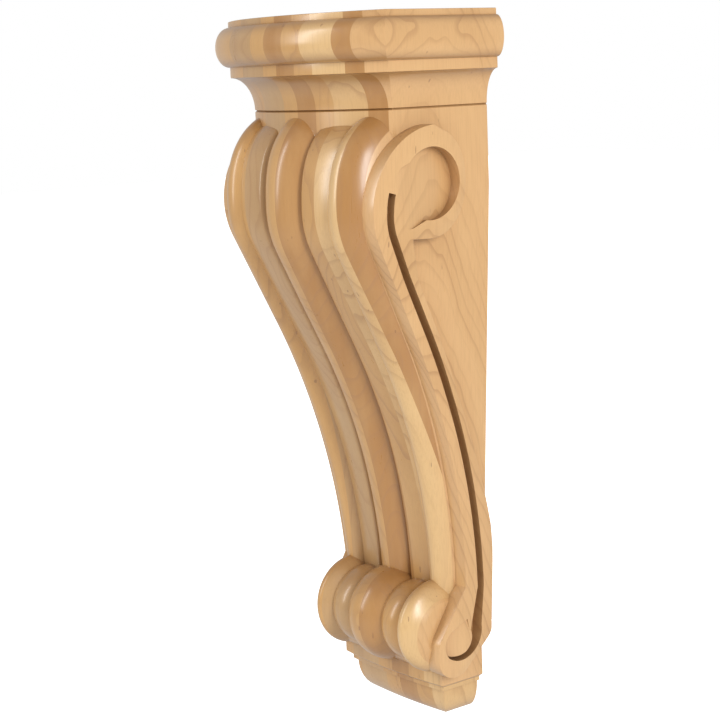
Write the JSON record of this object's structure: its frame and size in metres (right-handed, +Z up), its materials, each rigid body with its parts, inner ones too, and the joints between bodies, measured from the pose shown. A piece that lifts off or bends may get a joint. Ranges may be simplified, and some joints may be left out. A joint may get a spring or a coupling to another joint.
{
  "type": "corbel bracket",
  "caption": "Carved wooden wall corbel with a moulded cap, a lobed S-scroll body and a rolled foot, carrying a shelf or ledge on its flat top.",
  "frame": {"origin": "middle of the flat back face, where it lies on the wall", "axes": "+Z up along the height, +Y into the wall, +X to the right of someone who faces the wall"},
  "size_m": [0.216, 0.1464, 0.56],
  "materials": {
    "wood": "smooth sanded light hardwood, satin"
  },
  "bodies": {
    "root": {"corbel": "wood"}
  },
  "joints": []
}
